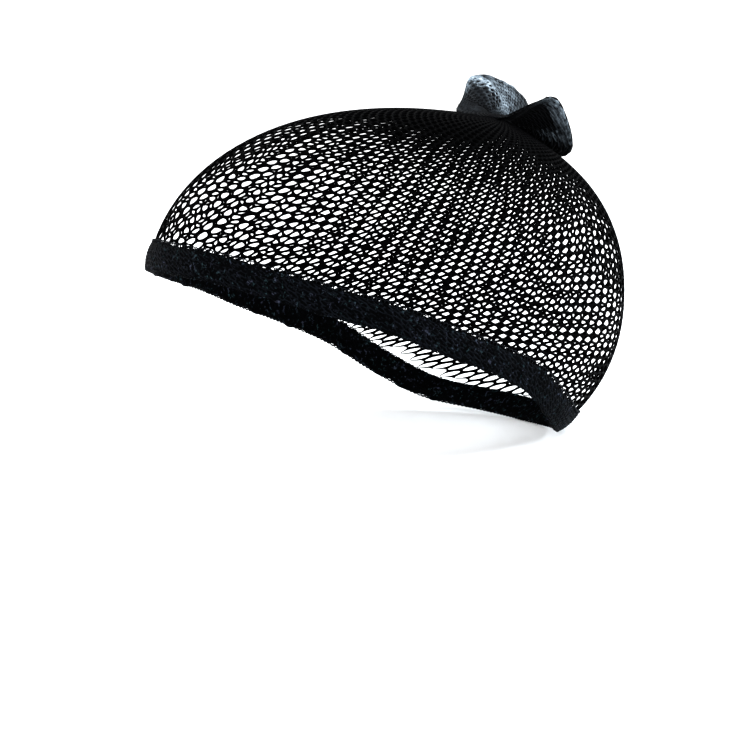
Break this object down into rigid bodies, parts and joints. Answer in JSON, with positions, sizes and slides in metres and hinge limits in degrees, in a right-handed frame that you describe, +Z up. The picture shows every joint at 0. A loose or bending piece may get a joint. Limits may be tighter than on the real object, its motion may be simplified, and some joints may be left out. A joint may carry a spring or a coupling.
{
  "type": "wig liner cap",
  "caption": "Black fishnet liner cap for under a wig, with an elastic edge band and a ruffled gathered tail at the crown, in its worn form.",
  "frame": {"origin": "centre of the head that holds the cap, on the cap's middle plane", "axes": "+Z up; the wearer faces -Y; +X to the wearer's left"},
  "size_m": [0.1508, 0.1883, 0.136],
  "materials": {
    "net": "black nylon fishnet with a faint blue sheen",
    "band": "matt black knitted elastic with a slightly fuzzy surface",
    "tail_net": "the same black nylon net, gathered and doubled, with a blue-white sheen on the folds"
  },
  "bodies": {
    "root": {"net_crown": "net", "elastic_edge_band": "band", "gathered_tail": "tail_net"}
  },
  "joints": []
}
